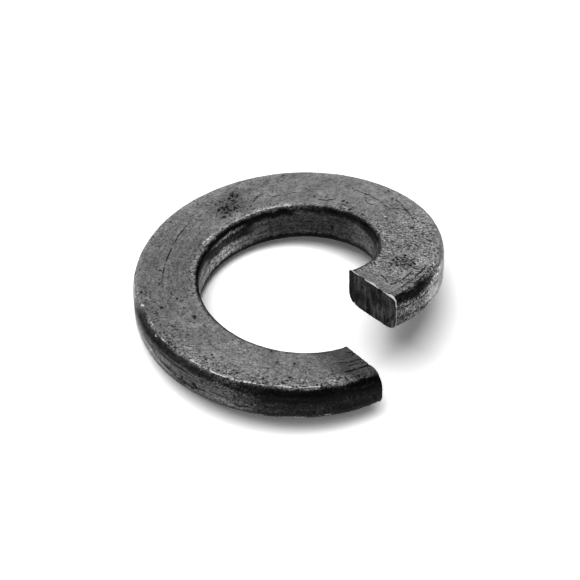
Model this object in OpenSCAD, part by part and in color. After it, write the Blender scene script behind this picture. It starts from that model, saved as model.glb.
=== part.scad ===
// Spring lock washer for an 8 mm bolt, in millimetres.
// One piece of rounded flat spring wire, coiled left-handed through almost one turn and sheared off
// at both ends. The high end has sprung up clear of the low end. The washer lies as it comes to rest
// on a flat surface: on the inner corner of its low end and on its outer edge across the bore.

/* [Wire section] */
// Bore diameter, a free fit on an 8 mm bolt
bore_d = 8.3; // [8.1:0.05:8.9]
// Width of the wire, from the bore wall to the outer wall
wire_w = 3.1; // [2.6:0.05:3.6]
// Thickness of the wire at the middle of its width
wire_t = 1.9; // [1.6:0.05:2.2]
// How much thicker coiling left the bore side than the outer side
keystone_t = 0.08; // [0:0.01:0.2]

/* [Rounded edges] */
// Radius of the top edge at the outer wall
top_outer_r = 0.28; // [0.1:0.01:0.5]
// Radius of the top edge at the bore
top_inner_r = 0.22; // [0.1:0.01:0.5]
// Radius of the bottom edge at the outer wall
bottom_outer_r = 0.5; // [0.2:0.01:0.6]
// Radius of the bottom edge at the bore
bottom_inner_r = 0.28; // [0.1:0.01:0.5]

/* [Coil] */
// Climb of the even helix from the low end to the high end
rise = 3.15; // [2.2:0.05:4]
// Extra height that the high end springs up above the even helix
end_lift = 0.8; // [0:0.05:1.2]
// Part of the coil, in degrees, over which the high end springs up
lift_angle = 118; // [60:1:170]
// Extra drop that the low end springs down below the even helix
end_drop = 0.15; // [0:0.05:0.6]
// Lean of the flats at the low end, in degrees, with the outer edge up
lean_angle = 9; // [0:0.5:12]
// Part of the coil, in degrees, over which the low end bends down and leans
bend_angle = 118; // [60:1:170]

/* [Sheared ends] */
// Gap between the two cut faces at the middle of the wire, along the turn
end_gap = 0.5; // [0.3:0.05:2]
// Direction of the gap, in degrees counter-clockwise from +X seen from above
gap_angle = -51.5; // [-180:0.5:180]
// Turn of the low cut face off the radial direction, in degrees
cut_skew_angle = -4.5; // [-8:0.5:8]

/* [Smoothness] */
// Sections in one full turn of the coil
sections_per_turn = 84; // [60:4:120]
// Facets on each rounded edge
edge_facets = 4; // [3:1:6]

/* [Hidden] */
// Lean of the rough side flanks in degrees, which the true bore and outer wall cut away
flank_angle = 14;
// Part of the coil, in degrees, over which the low cut's skew fades out
skew_fade_angle = 30;
// Part of a degree used to measure the coil's direction
tiny_angle = 0.05;
// Full circle that the true walls are drawn with
wall_fn = 144;
// Reach of the cutting tools past the wire
reach = 1;
// Part of the coil, in degrees, from the low cut back to the spot that the washer rests on
heel_angle = 183;

bore_r = bore_d / 2;
outer_r = bore_r + wire_w;
mid_r = bore_r + wire_w / 2;
gap_arc = end_gap / mid_r * 180 / PI;
coil_arc = 360 - gap_arc;
high_bearing = gap_angle + gap_arc / 2;
coil_steps = round(coil_arc / 360 * sections_per_turn);
top_height = end_drop + rise + end_lift + wire_t;

function squared(x) = x * x;

// How far a fading feature is still felt at a distance along its arc, from 1 down to 0
function fade(distance, arc) = squared(max(0, 1 - distance / arc));

// The coil is followed by the arc a in degrees, from the high cut at 0 to the low cut at coil_arc.
function mid_height(a) =
    wire_t / 2 + rise * (1 - a / coil_arc)
    + end_lift * fade(a, lift_angle)
    + end_drop * (1 - fade(coil_arc - a, bend_angle));
function lean(a) = lean_angle * fade(coil_arc - a, bend_angle);
function skew(a) = cut_skew_angle * fade(coil_arc - a, skew_fade_angle);

// Point of the coil at arc a, at p = [outward, upward] from the middle of the wire
function on_coil(a, p) =
    let (bearing = high_bearing + a, turned = bearing + skew(a))
    [
        mid_r * cos(bearing) + p.x * cos(turned),
        mid_r * sin(bearing) + p.x * sin(turned),
        mid_height(a) + p.y + p.x * tan(lean(a))
    ];

// Half of the wire's thickness at the side that x points to: 1 outward and -1 towards the bore
function half_t(x) = (wire_t - x * keystone_t / 2) / 2;

// Centre of one rounded edge: x is 1 outward or -1 towards the bore, y is 1 up or -1 down
function edge_centre(x, y, r) = [x * (wire_w / 2 - r), y * (half_t(x) - r)];

// Rounded edge from its flat to the start of its flank
function rounded_edge(x, y, r) = [
    for (i = [0 : edge_facets])
        let (turn = 90 - (90 - flank_angle) * i / edge_facets)
        edge_centre(x, y, r) + r * [x * cos(turn), y * sin(turn)]
];

// Tip of one side's flanks, where the lines that leave its two rounded edges meet
function flank_tip(x, top, bottom) =
    let (climb = (top.y - bottom.y - x * (top.x - bottom.x) / tan(flank_angle)) / 2)
    [top.x + x * (top.y - bottom.y - climb) * tan(flank_angle), bottom.y + climb];

function reversed(list) = [for (i = [len(list) - 1 : -1 : 0]) list[i]];

function wire_section() =
    let (
        top_outer = rounded_edge(1, 1, top_outer_r),
        bottom_outer = rounded_edge(1, -1, bottom_outer_r),
        bottom_inner = rounded_edge(-1, -1, bottom_inner_r),
        top_inner = rounded_edge(-1, 1, top_inner_r)
    )
    concat(
        top_outer,
        [flank_tip(1, top_outer[edge_facets], bottom_outer[edge_facets])],
        reversed(bottom_outer),
        bottom_inner,
        [flank_tip(-1, top_inner[edge_facets], bottom_inner[edge_facets])],
        reversed(top_inner)
    );

// The section swept along the coil, with a flat cut face at each end
module coiled_wire() {
    section = wire_section();
    n = len(section);
    points = [
        for (i = [0 : coil_steps])
            for (p = section) on_coil(coil_arc * i / coil_steps, p)
    ];
    sides = [
        for (i = [0 : coil_steps - 1])
            for (j = [0 : n - 1])
                let (here = i * n + j, next = i * n + (j + 1) % n)
                for (face = [[here, here + n, next], [next, here + n, next + n]]) face
    ];
    high_face = [for (j = [1 : n - 2]) [0, j, j + 1]];
    low_face = [for (j = [1 : n - 2]) [coil_steps * n, coil_steps * n + j + 1, coil_steps * n + j]];
    polyhedron(points = points, faces = concat(sides, high_face, low_face));
}

// The even bore and outer wall that the wire takes from the mandrel and the coiling die
module true_walls() {
    difference() {
        translate([0, 0, -reach])
            cylinder(r = outer_r, h = top_height + 2 * reach, $fn = wall_fn);
        translate([0, 0, -2 * reach])
            cylinder(r = bore_r, h = top_height + 4 * reach, $fn = wall_fn);
    }
}

// The washer at rest touches the surface at two feet. The toe is the bottom inner edge at the low
// cut, and the heel is the bottom outer edge across the bore, where the coil runs along the surface.
toe = on_coil(coil_arc, edge_centre(-1, -1, bottom_inner_r));
heel_arc = coil_arc - heel_angle;
heel_edge = edge_centre(1, -1, bottom_outer_r);
heel = on_coil(heel_arc, heel_edge);
heel_run = on_coil(heel_arc + tiny_angle, heel_edge) - on_coil(heel_arc - tiny_angle, heel_edge);

// Direction straight up from that surface, square to the heel's run and level over both feet
along = heel_run / norm(heel_run);
span = (heel - toe) - ((heel - toe) * along) * along;
level = (bottom_outer_r - bottom_inner_r) / norm(span);
across = span / norm(span);
normal = cross(along, across);
upright = normal.z > 0 ? normal : -normal;
up = level * across + sqrt(1 - squared(level)) * upright;
floor_gap = up * toe - bottom_inner_r;

// Lays the washer down, with the bore axis crossing the surface at the origin
module at_rest() {
    rotate(a = acos(up.z), v = cross(up, [0, 0, 1]))
        translate([0, 0, -floor_gap / up.z])
            children();
}

module spring_washer() {
    color("dimgray")
        at_rest()
            intersection() {
                coiled_wire();
                true_walls();
            }
}

spring_washer();
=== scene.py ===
"""Spring lock washer for an 8 mm bolt: its visible surface, the studio and the camera.

The washer is one length of rounded flat spring-steel wire, coiled left-handed and sheared off at both
ends. It is modelled in millimetres about the coil's own axis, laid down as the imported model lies, and
turned to metres at the end.
"""

import enum
import logging
import math
from collections.abc import Callable
from dataclasses import dataclass, field

import bmesh
import bpy
import numpy as np
from mathutils import Matrix, Vector

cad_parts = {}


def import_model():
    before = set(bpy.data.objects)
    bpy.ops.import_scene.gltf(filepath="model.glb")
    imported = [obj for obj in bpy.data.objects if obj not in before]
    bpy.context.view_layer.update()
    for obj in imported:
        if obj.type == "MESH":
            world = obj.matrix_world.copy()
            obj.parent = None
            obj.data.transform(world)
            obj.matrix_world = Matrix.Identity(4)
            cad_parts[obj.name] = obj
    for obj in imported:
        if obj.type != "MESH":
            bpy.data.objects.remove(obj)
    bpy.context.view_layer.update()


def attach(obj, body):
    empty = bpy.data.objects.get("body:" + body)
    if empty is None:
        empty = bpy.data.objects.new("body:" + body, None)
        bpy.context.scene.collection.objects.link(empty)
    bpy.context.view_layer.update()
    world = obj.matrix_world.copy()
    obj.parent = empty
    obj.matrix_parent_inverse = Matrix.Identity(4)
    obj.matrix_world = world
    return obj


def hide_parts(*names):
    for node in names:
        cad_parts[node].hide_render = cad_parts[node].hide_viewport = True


LOG = logging.getLogger("spring_washer_scene")
METRES_PER_MM = 0.001

# Vertices within this many degrees of arc belong to one ring of the coil.
SAME_RING = 0.05
# Keeps a division clear of zero.
TINY = 1e-9
# Moves of fewer millimetres than this count as none.
STILL_MM = 1e-6
# Bare steel is typically a mid grey, fully metallic. The rubbed edges are finer than the render's
# pixels, so they are drawn near white and only part metallic: bare steel with a painted highlight
# that stands in for the glints they catch, so that they show as bright lines.
BARE_STEEL_AND_GLINT = "fafaf8"
BARE_METALLIC = 0.25
# Height of the scale's and the cut face's bump, in millimetres.
BUMP_MM = 0.05


def linear(hex_colour: str) -> tuple[float, float, float, float]:
    """Turn an sRGB hex colour into linear light.

    Args:
        hex_colour: Colour as six hex digits.

    Returns:
        Red, green, blue and an alpha of 1.
    """
    channels = []
    for start in (0, 2, 4):
        value = int(hex_colour[start:start + 2], 16) / 255
        low = value <= 0.04045
        channels.append(value / 12.92 if low else ((value + 0.055) / 1.055) ** 2.4)
    return (channels[0], channels[1], channels[2], 1.0)


def add_node(
    tree: bpy.types.NodeTree,
    kind: str,
    settings: dict | None = None,
    inputs: dict | None = None,
    stops: tuple[tuple[float, str], ...] = (),
) -> bpy.types.Node:
    """Add one node with its settings, and set or link its inputs.

    Args:
        tree: Node tree that the node goes into.
        kind: Blender's type name of the node.
        settings: Property values of the node.
        inputs: Socket name or number to a value, or to the output socket to link from.
        stops: Places and hex colours of a colour ramp.

    Returns:
        The new node.
    """
    node = tree.nodes.new(kind)
    for name, value in (settings or {}).items():
        setattr(node, name, value)
    for key, value in (inputs or {}).items():
        socket = node.inputs[key]
        if isinstance(value, bpy.types.NodeSocket):
            tree.links.new(value, socket)
        else:
            socket.default_value = value
    for number, (place, colour) in enumerate(stops):
        ramp = node.color_ramp.elements
        stop = ramp[number] if number < len(ramp) else ramp.new(place)
        stop.position = place
        stop.color = linear(colour)
    return node


def new_material(name: str) -> bpy.types.Material:
    """Add a material with an empty node tree.

    Args:
        name: Name of the material.

    Returns:
        The new material.
    """
    material = bpy.data.materials.new(name)
    material.use_nodes = True
    material.node_tree.nodes.clear()
    return material


def rub_bare(
    tree: bpy.types.NodeTree,
    scale: bpy.types.NodeSocket,
    grain: bpy.types.NodeSocket,
    ragged: float,
    limits: tuple[float, float],
) -> tuple[bpy.types.NodeSocket, bpy.types.NodeSocket, bpy.types.NodeSocket]:
    """Rub the scale through to bare steel where the attribute rubbed says so.

    The bare colour is drawn near white: bare steel with a painted highlight.

    Args:
        tree: Node tree of the finish.
        scale: Colour of the scale.
        grain: Pattern that makes the rubbed spots' borders ragged.
        ragged: How strongly the pattern does so.
        limits: Sums of both at which steel starts to show and at which it is bare.

    Returns:
        Share of bare steel, mixed colour and metallic value.
    """
    rubbed = add_node(tree, "ShaderNodeAttribute", {"attribute_name": "rubbed"}).outputs["Fac"]
    edge = add_node(
        tree, "ShaderNodeMath", {"operation": "MULTIPLY_ADD"}, {0: grain, 1: ragged, 2: rubbed}
    ).outputs[0]
    share = add_node(
        tree, "ShaderNodeMapRange", None,
        {"Value": edge, "From Min": limits[0], "From Max": limits[1]},
    ).outputs[0]
    # Bare steel with a painted highlight, drawn near white.
    colour = add_node(
        tree, "ShaderNodeMix", {"data_type": "RGBA"}, {0: share, 6: scale, 7: linear(BARE_STEEL_AND_GLINT)}
    ).outputs[2]
    metallic = add_node(
        tree, "ShaderNodeMath", {"operation": "MULTIPLY"}, {0: share, 1: BARE_METALLIC}
    ).outputs[0]
    return share, colour, metallic


def close_steel(tree: bpy.types.NodeTree, height: bpy.types.NodeSocket, inputs: dict) -> None:
    """Give a steel finish its shader, its bump and its output.

    Args:
        tree: Node tree of the finish.
        height: Pattern that the bump follows.
        inputs: The shader's other inputs.
    """
    bump = add_node(
        tree, "ShaderNodeBump", None,
        {"Height": height, "Distance": BUMP_MM * METRES_PER_MM, "Strength": 1.0},
    ).outputs[0]
    shader = add_node(tree, "ShaderNodeBsdfPrincipled", None, {**inputs, "Normal": bump})
    add_node(tree, "ShaderNodeOutputMaterial", None, {"Surface": shader.outputs[0]})


def deselect_all() -> None:
    """Deselect every object."""
    bpy.ops.object.select_all(action="DESELECT")


def make_active(piece: bpy.types.Object) -> None:
    """Select one object alone and make it the active one.

    Args:
        piece: Object to work on.
    """
    deselect_all()
    piece.select_set(True)
    bpy.context.view_layer.objects.active = piece


def apply_modifier(piece: bpy.types.Object, kind: str, **settings: object) -> None:
    """Add one modifier and apply it at once.

    Args:
        piece: Object to change.
        kind: Blender's type name of the modifier.
        settings: Property values of the modifier.
    """
    modifier = piece.modifiers.new(kind.title(), kind)
    for name, value in settings.items():
        setattr(modifier, name, value)
    make_active(piece)
    bpy.ops.object.modifier_apply(modifier=modifier.name)


class MarkKind(enum.Enum):
    """What a mark on the steel is."""

    CRACK = "crack"
    PIT = "pit"
    BARE = "bare"


@dataclass(frozen=True)
class Mark:
    """One mark on the wire's surface: a line, or a row of spots.

    Attributes:
        kind: What the mark is.
        path: Points as (arc along the coil in degrees, millimetres round the section).
        width: Half width of the mark, in millimetres.
        depth: Depth that it is carved to, in millimetres.
        spots: Whether the points are separate spots, not one line.
    """

    kind: MarkKind
    path: tuple[tuple[float, float], ...]
    width: float
    depth: float = 0.0
    spots: bool = False

    def segments(self) -> list[tuple[tuple[float, float], tuple[float, float]]]:
        """List the mark's pieces.

        Returns:
            Pairs of points. A spot starts and ends at one point.
        """
        if self.spots:
            return [(point, point) for point in self.path]
        return list(zip(self.path[:-1], self.path[1:]))


def crack(width: float, depth: float, *path: tuple[float, float]) -> Mark:
    """Describe a crack or scratch that follows a line."""
    return Mark(MarkKind.CRACK, path, width, depth)


def pits(width: float, depth: float, *path: tuple[float, float]) -> Mark:
    """Describe a group of pits."""
    return Mark(MarkKind.PIT, path, width, depth, spots=True)


def bare(width: float, *path: tuple[float, float]) -> Mark:
    """Describe an edge that is rubbed through to bare steel."""
    return Mark(MarkKind.BARE, path, width)


@dataclass(frozen=True)
class Zone:
    """A stretch of the wire whose colour, grain or streaks differ from the rest.

    Attributes:
        arcs: Where it starts and ends along the coil, in degrees.
        ways: Where it starts and ends round the section, in millimetres.
        level: What the stretch multiplies the scale's colour, grain or streaks by.
        soft: Widths of its soft borders, in degrees and in millimetres.
    """

    arcs: tuple[float, float]
    ways: tuple[float, float]
    level: float
    soft: tuple[float, float] = (14.0, 0.25)

    def cover(self, arc: np.ndarray, way: np.ndarray) -> np.ndarray:
        """Work out how fully the stretch covers each point.

        Args:
            arc: Arc along the coil, in degrees.
            way: Distance round the section, in millimetres.

        Returns:
            Cover from 0 to 1.
        """
        result = np.ones_like(arc)
        for value, ends, soft in ((arc, self.arcs, self.soft[0]), (way, self.ways, self.soft[1])):
            result = result * np.clip((value - ends[0]) / soft + 0.5, 0, 1)
            result = result * np.clip((ends[1] - value) / soft + 0.5, 0, 1)
        # Eased at both ends, so that no border shows a crease.
        return result * result * (3 - 2 * result)


@dataclass(frozen=True)
class PitPatch:
    """A patch of fine pits round one spot.

    Attributes:
        spot: Its middle, as arc in degrees and millimetres round the section.
        spread: How far the pits spread from it, in degrees and in millimetres.
        count: Number of pits.
    """

    spot: tuple[float, float]
    spread: tuple[float, float]
    count: int


# Where the scale is darker or paler than its bands. Most zones are painted light and shade:
# painted shade on the outer top edge and the front of the outer wall, painted light on the outer wall
# at both sides and on its lower part at the front, painted shade on the bore's top edge with two
# painted highlights along it, and painted contact shade along the bore's bottom edge. The rest
# darken or lighten other stretches, such as round the pit clusters.
LIGHT_SHADE_AND_TINTS: tuple[Zone, ...] = (
    # Painted shade on the outer top edge and the front of the outer wall.
    Zone((243, 380), (1.27, 1.84), 0.13, (12.0, 0.22)),
    Zone((243, 380), (1.50, 2.25), 0.62, (14.0, 0.40)),
    Zone((303, 380), (1.34, 2.16), 0.10, (22.0, 0.42)),
    Zone((-20, 26), (1.18, 1.80), 0.03, (18.0, 0.26)),
    Zone((303, 380), (1.90, 3.45), 0.15, (16.0, 0.3)),
    Zone((325, 380), (1.75, 3.35), 0.60, (24.0, 0.4)),
    # Painted light on the lower outer wall at the front and on the outer wall at both sides.
    Zone((284, 316), (2.50, 3.00), 1.3, (20.0, 0.4)),
    Zone((22, 72), (1.66, 3.20), 6.8, (16.0, 0.3)),
    Zone((4, 24), (1.90, 3.10), 1.8, (10.0, 0.3)),
    Zone((196, 240), (1.56, 3.10), 3.2, (20.0, 0.3)),
    Zone((230, 262), (2.45, 3.50), 2.0, (14.0, 0.3)),
    Zone((240, 270), (2.05, 3.00), 1.8, (16.0, 0.3)),
    # Painted shade on the front of the outer wall.
    Zone((270, 310), (2.20, 3.30), 0.80, (12.0, 0.3)),
    # Painted shade on the bore's top edge, with two painted highlights along it.
    Zone((132, 164), (-1.90, -1.50), 0.035, (8.0, 0.14)),
    Zone((160, 245), (-1.98, -1.42), 0.025, (10.0, 0.18)),
    Zone((160, 206), (-2.40, -1.88), 0.10, (16.0, 0.2)),
    Zone((170, 196), (-1.87, -1.72), 110.0, (10.0, 0.05)),
    Zone((42, 62), (-1.82, -1.70), 20.0, (8.0, 0.05)),
    Zone((80, 130), (-1.84, -1.36), 0.10, (20.0, 0.30)),
    Zone((50, 84), (-2.02, -1.42), 0.025, (12.0, 0.22)),
    Zone((28, 50), (-2.02, -1.70), 0.08, (8.0, 0.16)),
    # The bore wall: darker at the back and the right, paler at the left.
    Zone((92, 156), (-3.20, -1.80), 0.35, (24.0, 0.3)),
    Zone((-20, 70), (-3.20, -1.80), 0.50, (24.0, 0.3)),
    Zone((176, 245), (-3.10, -1.95), 3.8, (24.0, 0.3)),
    # Painted contact shade along the bore's bottom edge, where it meets the floor.
    Zone((-20, 240), (-3.62, -2.98), 0.06, (30.0, 0.15)),
    # Darker and paler stretches of the bore wall, the inner flat's edge, the top flat and the pit
    # clusters.
    Zone((44, 74), (-2.95, -2.30), 1.7, (10.0, 0.3)),
    Zone((136, 160), (-1.36, -1.08), 1.6, (8.0, 0.25)),
    Zone((161, 175), (-1.34, -1.12), 1.4, (6.0, 0.2)),
    Zone((187, 200), (-1.30, -1.02), 1.4, (6.0, 0.2)),
    Zone((338, 380), (-1.50, 0.55), 0.44, (16.0, 0.3)),
    Zone((343, 380), (0.45, 1.50), 0.30, (8.0, 0.2)),
    Zone((15, 110), (-1.20, 1.20), 1.14, (30.0, 0.3)),
    Zone((185, 262), (-1.20, 1.30), 0.74, (40.0, 0.3)),
    Zone((158, 176), (-0.70, 0.75), 0.62, (9.0, 0.5)),
    Zone((24, 34), (-0.55, 0.40), 0.74, (7.0, 0.45)),
)

# Where the scale is more or less grainy.
GRAINS: tuple[Zone, ...] = (
    Zone((10, 72), (-1.30, 1.30), 2.5, (20.0, 0.3)),
    Zone((85, 170), (-1.30, 1.30), 0.7, (20.0, 0.3)),
    Zone((-20, 240), (1.75, 3.60), 2.0, (20.0, 0.3)),
    Zone((-20, 20), (1.75, 3.60), 1.5, (10.0, 0.3)),
    Zone((20, 75), (1.75, 3.60), 0.6, (10.0, 0.3)),
    Zone((-20, 34), (1.15, 1.95), 3.0, (10.0, 0.2)),
    Zone((290, 380), (1.35, 2.20), 3.2, (30.0, 0.3)),
    Zone((296, 380), (2.20, 3.60), 2.2, (30.0, 0.3)),
    Zone((-20, 240), (-3.40, -1.75), 1.6, (20.0, 0.3)),
    Zone((-20, 240), (-1.75, -1.05), 2.2, (20.0, 0.3)),
    Zone((262, 380), (0.55, 1.50), 1.8, (20.0, 0.4)),
)

# Where the streaks along the wire are stronger or weaker.
STREAKS: tuple[Zone, ...] = (
    Zone((-20, 380), (-1.50, 1.40), 0.34, (20.0, 0.3)),
    Zone((-20, 240), (1.90, 3.40), 1.6, (20.0, 0.3)),
    Zone((70, 200), (1.90, 3.40), 0.5, (30.0, 0.3)),
    Zone((-20, 380), (-3.20, -1.90), 1.3, (20.0, 0.3)),
)

# The patches of fine pits in the top flat.
PIT_PATCHES: tuple[PitPatch, ...] = (
    PitPatch((167.5, -0.15), (4.2, 0.36), 110),
    PitPatch((164.0, 0.55), (2.5, 0.15), 30),
    PitPatch((29.0, -0.10), (3.6, 0.28), 50),
    PitPatch((20.0, 0.70), (5.0, 0.25), 30),
    PitPatch((239.0, 0.90), (7.0, 0.24), 24),
    PitPatch((262.0, 0.70), (9.0, 0.30), 50),
    PitPatch((300.0, 1.00), (18.0, 0.18), 90),
    PitPatch((340.0, 1.05), (9.0, 0.22), 60),
    PitPatch((95.0, -1.10), (7.0, 0.12), 40),
)

# The cracks, scratches, single pits and rubbed edges that stand out.
MARKS: tuple[Mark, ...] = (
    crack(0.033, 0.03, (188.9, 0.33), (197.3, 0.27), (205.8, 0.17), (214.8, 0.14), (222.9, 0.16),
          (229.5, 0.16), (232.6, 0.30)),
    crack(0.032, 0.03, (108.4, 0.57), (105.2, 0.44), (100.6, 0.40), (96.3, 0.36), (91.5, 0.30),
          (87.2, 0.21), (81.7, 0.13), (76.4, 0.23)),
    crack(0.035, 0.03, (120.7, -0.83), (115.5, -0.79), (111.3, -0.55)),
    crack(0.035, 0.03, (106.3, -0.85), (100.9, -0.93), (96.3, -0.81)),
    crack(0.055, 0.04, (343.2, 0.42), (347.4, 0.45), (351.5, 0.43), (354.9, 0.46)),
    crack(0.035, 0.02, (342.2, -0.41), (345.8, -0.28), (350.2, -0.20), (354.9, -0.15)),
    crack(0.035, 0.02, (351.0, -1.03), (354.9, -0.80)),
    crack(0.035, 0.02, (346.0, 0.05), (354.9, 0.12)),
    crack(0.045, 0.03, (262.4, 2.50), (269.2, 2.53), (275.5, 2.59), (280.2, 2.76), (286.9, 2.53)),
    crack(0.04, 0.025, (254.9, 2.29), (259.6, 2.41), (265.0, 2.56), (271.3, 2.64), (278.0, 2.80)),
    crack(0.035, 0.02, (264.7, 2.04), (271.7, 2.01), (278.3, 2.01), (286.0, 2.06)),
    crack(0.035, 0.02, (262.0, 2.88), (267.1, 2.90), (284.0, 3.02)),
    crack(0.04, 0.025, (0.5, 2.50), (1.8, 2.53), (10.1, 2.66), (20.8, 2.81), (30.0, 2.83)),
    crack(0.035, 0.02, (0.8, 2.02), (7.0, 2.02), (16.6, 2.10), (26.0, 2.12), (40.0, 2.22)),
    crack(0.035, 0.025, (1.0, 1.27), (11.2, 1.16), (18.6, 1.16), (28.8, 1.16)),
    crack(0.035, 0.02, (2.0, 0.93), (12.7, 0.88), (20.5, 0.89), (30.3, 0.92)),
    crack(0.045, 0.015, (7.2, 0.44), (14.0, 0.53), (22.4, 0.55)),
    crack(0.026, 0.01, (154.4, -0.09), (144.7, -0.42), (134.3, -0.27)),
    crack(0.035, 0.02, (86.6, 0.90), (79.3, 0.75), (68.5, 0.59)),
    pits(0.07, 0.05, (172.6, 0.39), (170.1, 0.46), (171.7, 0.01), (168.6, 0.15), (169.0, -0.11),
         (165.7, 0.40), (163.6, 0.53), (164.8, 0.15), (172.3, -0.44), (169.4, -0.47),
         (166.5, -0.39), (167.3, -0.72), (175.0, -0.63), (164.4, -0.43), (173.6, -0.02)),
    pits(0.055, 0.04, (244.9, 0.07), (267.0, 0.14), (259.8, -0.70), (236.1, 0.93), (235.5, 1.16),
         (239.3, 0.79), (283.2, 0.29), (282.1, 0.65), (263.6, -0.05), (241.4, -0.15),
         (295.0, 0.36), (297.4, 0.75), (222.9, 0.30), (242.9, -0.41)),
    pits(0.066, 0.06, (33.9, -0.44), (32.5, -0.30), (33.1, -0.02), (31.6, -0.52), (31.2, -0.18),
         (31.9, 0.14), (30.1, -0.38), (29.7, -0.04), (30.6, 0.30), (28.7, -0.58), (28.3, -0.24),
         (28.0, 0.12), (29.0, 0.44), (26.9, -0.40), (26.3, -0.02), (26.7, 0.33), (24.9, -0.25),
         (25.7, 0.65), (24.3, 0.84), (25.0, -0.62), (23.8, 0.10), (37.3, 0.71), (35.4, -0.16)),
    pits(0.065, 0.045, (88.5, -1.01), (106.8, -0.59), (103.8, -0.66), (105.2, -1.10),
         (101.8, -1.17), (98.6, -1.03), (45.4, -0.04), (42.7, -0.59), (42.0, -1.04),
         (54.6, 0.30), (64.6, 0.92), (62.1, 0.29), (61.2, -0.74), (49.8, 0.89)),
    pits(0.055, 0.04, (317.6, 0.71), (316.1, 0.88), (318.9, 0.48), (327.8, -0.12), (326.0, 0.10),
         (316.9, -0.96), (321.5, -0.50), (331.7, 0.55), (312.5, -0.52), (305.8, 0.61),
         (353.5, -0.70), (341.6, 1.05), (339.5, 0.78), (337.4, 0.38), (309.0, 0.00)),
    pits(0.08, 0.06, (18.9, 2.09), (276.1, 2.48), (281.7, 2.53), (283.0, 2.61), (281.1, 2.81)),
    bare(0.05, (198.9, -1.11), (193.6, -1.16), (188.3, -1.19)),
    bare(0.035, (172.4, -1.26), (167.5, -1.28), (162.5, -1.28)),
    bare(0.05, (157.3, -1.27), (153.3, -1.24), (148.7, -1.26), (143.6, -1.24), (137.8, -1.22)),
    bare(0.03, (243.0, 1.21), (248.1, 1.23), (253.5, 1.22), (262.0, 1.24), (270.0, 1.23)),
    bare(0.036, (278.6, 1.21), (282.3, 1.20), (286.2, 1.22), (290.3, 1.25), (294.3, 1.25)),
    bare(0.036, (294.3, 1.25), (300.2, 1.23), (306.9, 1.21), (314.3, 1.14), (321.8, 1.19),
         (330.0, 1.22)),
    bare(0.028, (298.0, 3.10), (305.9, 3.12), (318.5, 3.08), (332.9, 3.02)),
    Mark(MarkKind.BARE, ((77.6, -0.42), (294.8, -0.78), (259.7, 1.43), (323.7, 0.69), (325.6, 0.77),
                         (334.9, 0.79), (336.5, 0.92), (148.7, -1.30), (242.8, 1.25)),
         0.05, spots=True),
)


@dataclass(frozen=True)
class WireSizes:
    """Sizes of the wire and its coil, in millimetres and degrees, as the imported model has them.

    Only the top outer edge differs. It is sharper here, and grows rounder towards both cuts.

    Attributes:
        keystone: How much thicker the bore side is than the outer side.
        rise: Climb of the even helix from the low end to the high end.
        end_lift: Extra height of the high end, which fades out over lift_angle.
        end_drop: Extra drop of the low end, which fades out over bend_angle.
        lean_angle: Lean of the flats at the low end, with the outer edge up.
        gap_angle: Direction of the gap, counter-clockwise from +X.
        cut_skew_angle: Turn of the low cut off the radial direction.
        rest_axis: Direction of the bore's axis when the washer lies at rest.
        rest_drop: How far the coil is lowered along that axis, so that it lies on the floor.
    """

    bore_r: float = 4.15
    width: float = 3.1
    thickness: float = 1.9
    keystone: float = 0.08
    top_outer_r: float = 0.22
    top_inner_r: float = 0.22
    bottom_outer_r: float = 0.5
    bottom_inner_r: float = 0.28
    rise: float = 3.15
    end_lift: float = 0.8
    lift_angle: float = 118.0
    end_drop: float = 0.15
    lean_angle: float = 9.0
    bend_angle: float = 118.0
    end_gap: float = 0.5
    gap_angle: float = -51.5
    cut_skew_angle: float = -4.5
    skew_fade_angle: float = 30.0
    rest_axis: tuple[float, float, float] = (-0.0353446, 0.1901880, 0.9811113)
    rest_drop: float = 0.55435

    @property
    def mid_r(self) -> float:
        """Radius of the middle of the wire."""
        return self.bore_r + self.width / 2

    @property
    def gap_arc(self) -> float:
        """Arc of the gap between the cut faces, in degrees."""
        return math.degrees(self.end_gap / self.mid_r)

    @property
    def coil_arc(self) -> float:
        """Arc of the coil, in degrees."""
        return 360 - self.gap_arc

    def half_thickness(self, side: float) -> float:
        """Half thickness of the wire at a side: 1 is outward and -1 towards the bore."""
        return (self.thickness - side * self.keystone / 2) / 2

    def height(self, arc: np.ndarray) -> np.ndarray:
        """Height of the wire's middle over the even helix and its two sprung ends.

        Args:
            arc: Arc from the high cut, in degrees.

        Returns:
            Heights in millimetres.
        """
        lift = np.clip(1 - arc / self.lift_angle, 0, None) ** 2
        bend = np.clip(1 - (self.coil_arc - arc) / self.bend_angle, 0, None) ** 2
        helix = self.rise * (1 - arc / self.coil_arc)
        return self.thickness / 2 + helix + self.end_lift * lift + self.end_drop * (1 - bend)

    def slope(self, arc: np.ndarray) -> np.ndarray:
        """Climb across the wire from its bore side to its outer side, as a tangent.

        Args:
            arc: Arc from the high cut, in degrees.

        Returns:
            Tangent of the lean at each arc.
        """
        bend = np.clip(1 - (self.coil_arc - arc) / self.bend_angle, 0, None) ** 2
        return np.tan(np.radians(self.lean_angle * bend))

    def skew(self, arc: np.ndarray) -> np.ndarray:
        """Turn of the section off the radial direction near the low cut, in radians.

        Args:
            arc: Arc from the high cut, in degrees.

        Returns:
            Turn at each arc.
        """
        near = np.clip(1 - (self.coil_arc - arc) / self.skew_fade_angle, 0, None) ** 2
        return np.radians(self.cut_skew_angle * near)


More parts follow.
